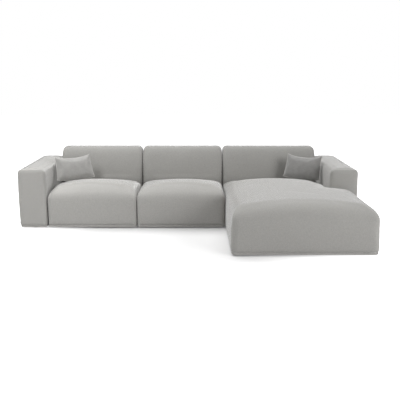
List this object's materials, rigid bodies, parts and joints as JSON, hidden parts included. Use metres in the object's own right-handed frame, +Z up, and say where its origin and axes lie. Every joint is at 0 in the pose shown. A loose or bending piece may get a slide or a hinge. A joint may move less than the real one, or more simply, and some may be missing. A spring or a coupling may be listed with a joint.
{
  "type": "corner sofa bed",
  "caption": "Corner sofa with a long chaise; the seats roll forward, their backs lie down behind them, and the whole makes a wide level bed.",
  "frame": {"origin": "on the floor, at the middle of the footprint of the closed sofa", "axes": "+X to the viewer's right along the sofa's length, +Y to the sofa's rear, +Z up"},
  "size_m": [3.16, 1.7899, 0.68],
  "materials": {
    "sofa_cloth": "woven, warm light grey",
    "timber": "planed softwood",
    "webbing": "woven elastic strap",
    "base_cloth": "thin non-woven",
    "skirt_cloth": "woven, warm light grey",
    "steel_plate": "dark powder coat",
    "foot_plastic": "matt",
    "steel": "zinc plated",
    "bush_plastic": "matt",
    "roller_plastic": "matt",
    "pillow_cloth": "chenille, grey"
  },
  "bodies": {
    "base": {"left_arm_cover": "sofa_cloth", "left_arm_frame": "timber", "right_arm_cover": "sofa_cloth", "right_arm_frame": "timber", "chaise_cover": "sofa_cloth", "chaise_frame": "timber", "chaise_webbing": "webbing", "chaise_base_cloth": "base_cloth", "right_back_cover": "sofa_cloth", "right_back_frame": "timber", "right_back_panel": "skirt_cloth", "base_rails": "timber", "rear_skirt": "skirt_cloth", "module_connectors": "steel_plate", "feet": "foot_plastic", "left_fixed_runners": "steel", "centre_fixed_runners": "steel", "left_guide_plates": "steel_plate", "centre_guide_plates": "steel_plate"},
    "left_seat": {"left_seat_cover": "sofa_cloth", "left_seat_frame": "timber", "left_seat_webbing": "webbing", "left_moving_runners": "steel", "left_seat_brackets": "steel_plate", "left_hinge_pins": "steel", "left_roller_forks": "steel_plate", "left_roller_axles": "steel"},
    "left_back": {"left_back_cover": "sofa_cloth", "left_back_frame": "timber", "left_back_panel": "skirt_cloth", "left_back_arms": "steel_plate", "left_guide_bushes": "bush_plastic"},
    "left_roller_pair": {"left_rollers": "roller_plastic"},
    "centre_seat": {"centre_seat_cover": "sofa_cloth", "centre_seat_frame": "timber", "centre_seat_webbing": "webbing", "centre_moving_runners": "steel", "centre_seat_brackets": "steel_plate", "centre_hinge_pins": "steel", "centre_roller_forks": "steel_plate", "centre_roller_axles": "steel"},
    "centre_back": {"centre_back_cover": "sofa_cloth", "centre_back_frame": "timber", "centre_back_panel": "skirt_cloth", "centre_back_arms": "steel_plate", "centre_guide_bushes": "bush_plastic"},
    "centre_roller_pair": {"centre_rollers": "roller_plastic"},
    "left_pillow": {"left_pillow": "pillow_cloth"},
    "right_pillow": {"right_pillow": "pillow_cloth"}
  },
  "joints": [
    {"name": "left_seat_slide", "type": "slide", "parent": "base", "child": "left_seat", "axis": [0, -1, 0], "range_m": [0, 0.45]},
    {"name": "left_back_fold", "type": "hinge", "parent": "left_seat", "child": "left_back", "pos_m": [-0.9035, 0.762, 0.28], "axis": [-1, 0, 0], "range_deg": [0, 90]},
    {"name": "left_roller_spin", "type": "hinge", "parent": "left_seat", "child": "left_roller_pair", "pos_m": [-0.9035, 0.0703, 0.025], "axis": [1, 0, 0], "range_deg": [-5, 1040]},
    {"name": "centre_seat_slide", "type": "slide", "parent": "base", "child": "centre_seat", "axis": [0, -1, 0], "range_m": [0, 0.45]},
    {"name": "centre_back_fold", "type": "hinge", "parent": "centre_seat", "child": "centre_back", "pos_m": [-0.0635, 0.762, 0.28], "axis": [-1, 0, 0], "range_deg": [0, 90]},
    {"name": "centre_roller_spin", "type": "hinge", "parent": "centre_seat", "child": "centre_roller_pair", "pos_m": [-0.0635, 0.0703, 0.025], "axis": [1, 0, 0], "range_deg": [-5, 1040]},
    {"name": "left_pillow_lift", "type": "slide", "parent": "left_seat", "child": "left_pillow", "axis": [0, 0, 1], "range_m": [0, 0.3]},
    {"name": "right_pillow_lift", "type": "slide", "parent": "base", "child": "right_pillow", "axis": [0, 0, 1], "range_m": [0, 0.3]}
  ],
  "couplings": [
    {"joint": "left_back_fold", "follows": "left_seat_slide", "rad_per_m": 3.4907},
    {"joint": "left_roller_spin", "follows": "left_seat_slide", "rad_per_m": 40},
    {"joint": "centre_back_fold", "follows": "centre_seat_slide", "rad_per_m": 3.4907},
    {"joint": "centre_roller_spin", "follows": "centre_seat_slide", "rad_per_m": 40}
  ]
}
